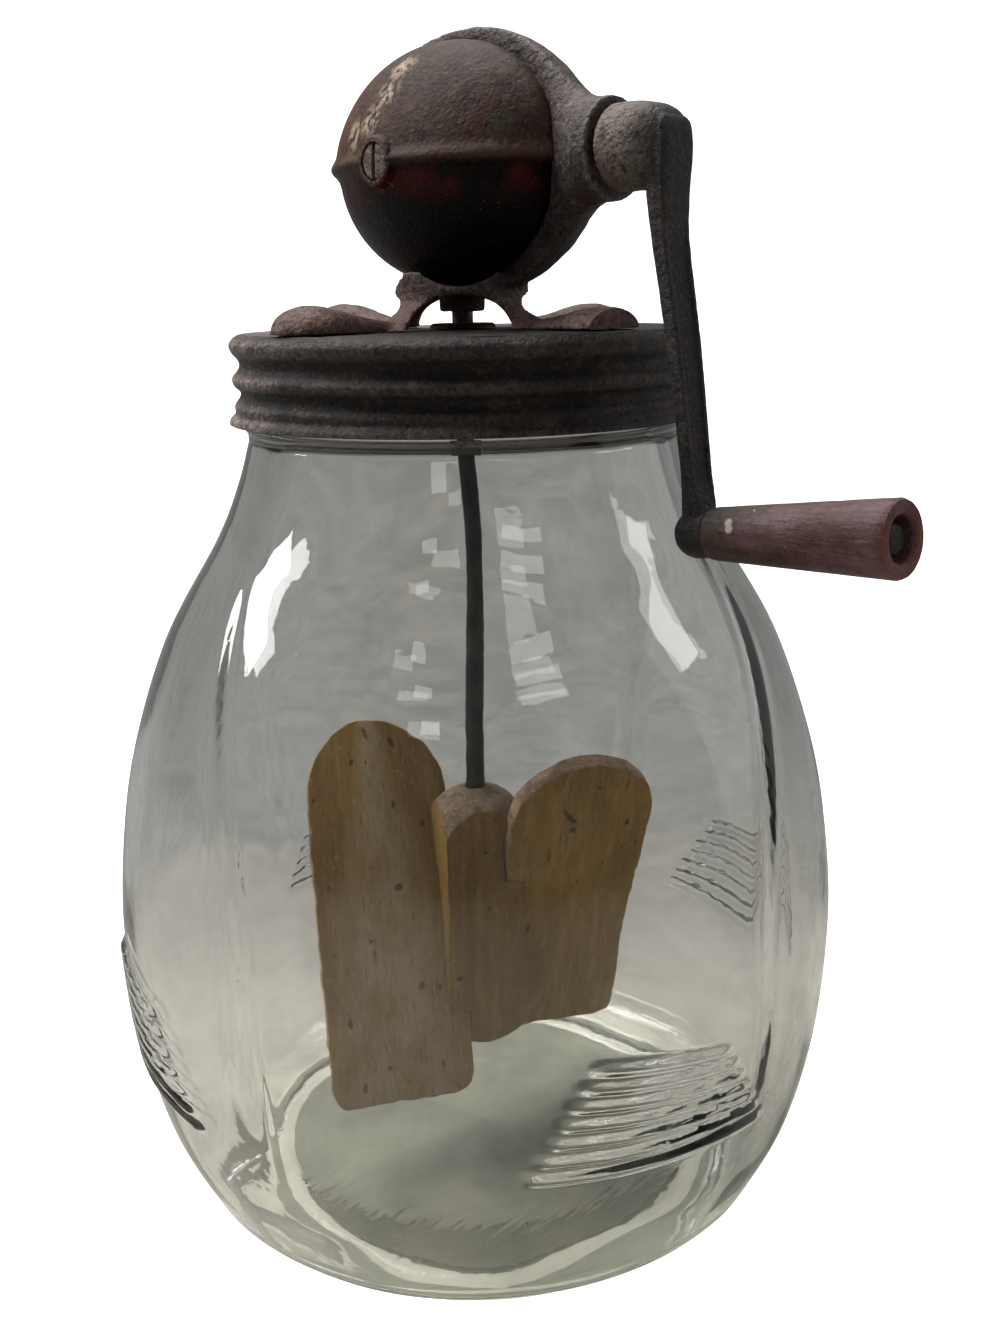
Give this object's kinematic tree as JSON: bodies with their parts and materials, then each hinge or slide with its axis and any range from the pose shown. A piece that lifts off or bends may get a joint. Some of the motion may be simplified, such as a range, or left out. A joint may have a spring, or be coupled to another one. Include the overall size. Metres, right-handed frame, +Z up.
{
  "type": "hand cranked butter churn",
  "caption": "Glass jar butter churn: a side crank turns bevel gears in the screw lid's round case and spins a wooden dasher inside the jar.",
  "frame": {"origin": "centre of the jar's flat base, on the surface that it stands on", "axes": "+Z up through the dasher's shaft, +X along the crank's axis towards the crank, -Y towards the gear case's cover"},
  "size_m": [0.2277, 0.1972, 0.3088],
  "materials": {
    "glass": "clear, slightly green",
    "seal": "matt",
    "lid": "worn and rusted",
    "brass": "dull",
    "casting": "grainy, worn",
    "cover": "worn dark red paint",
    "bright_steel": "plain",
    "black_steel": "blackened",
    "dasher": "bare, aged",
    "grip": "worn dark red paint"
  },
  "bodies": {
    "jar": {"jar": "glass"},
    "seal": {"lid_seal": "seal"},
    "lid": {"lid_cap": "lid", "spindle_bush": "brass", "foot_rivet_0": "lid", "foot_rivet_1": "lid", "foot_rivet_2": "lid", "foot_rivet_3": "lid", "gear_frame": "casting", "gear_cover": "cover", "cover_screw": "bright_steel"},
    "crank": {"crank_axle": "bright_steel", "axle_washer": "black_steel", "drive_gear": "casting", "gear_pin": "bright_steel", "crank_arm": "casting", "crank_pin": "bright_steel", "grip_stud": "bright_steel", "grip_washer": "black_steel"},
    "grip": {"handle_grip": "grip"},
    "dasher": {"drive_spindle": "bright_steel", "pinion": "bright_steel", "pinion_pin": "bright_steel", "rod_coupling": "black_steel", "coupling_pin_upper": "bright_steel", "coupling_pin_lower": "bright_steel", "dasher_rod": "black_steel", "rod_pin": "black_steel", "dasher_hub": "dasher", "far_blade": "dasher", "near_blade": "dasher", "blade_nail_0": "black_steel", "blade_nail_1": "black_steel"}
  },
  "joints": [
    {"name": "lid_lift", "type": "slide", "parent": "jar", "child": "seal", "axis": [0, 0, 1], "range_m": [0, 0.21]},
    {"name": "lid_turn", "type": "hinge", "parent": "seal", "child": "lid", "pos_m": [0, 0, 0.2382], "axis": [0, 0, 1], "range_deg": [0, 360]},
    {"name": "crank_spin", "type": "hinge", "parent": "lid", "child": "crank", "pos_m": [0.052, 0, 0.2776], "axis": [1, 0, 0], "continuous": true},
    {"name": "grip_spin", "type": "hinge", "parent": "crank", "child": "grip", "pos_m": [0.0776, 0, 0.1936], "axis": [0.9962, 0, 0.0872], "continuous": true},
    {"name": "dasher_spin", "type": "hinge", "parent": "lid", "child": "dasher", "pos_m": [0, 0, 0.2382], "axis": [0, 0, 1], "continuous": true}
  ],
  "couplings": [
    {"joint": "dasher_spin", "follows": "crank_spin", "ratio": 3}
  ]
}
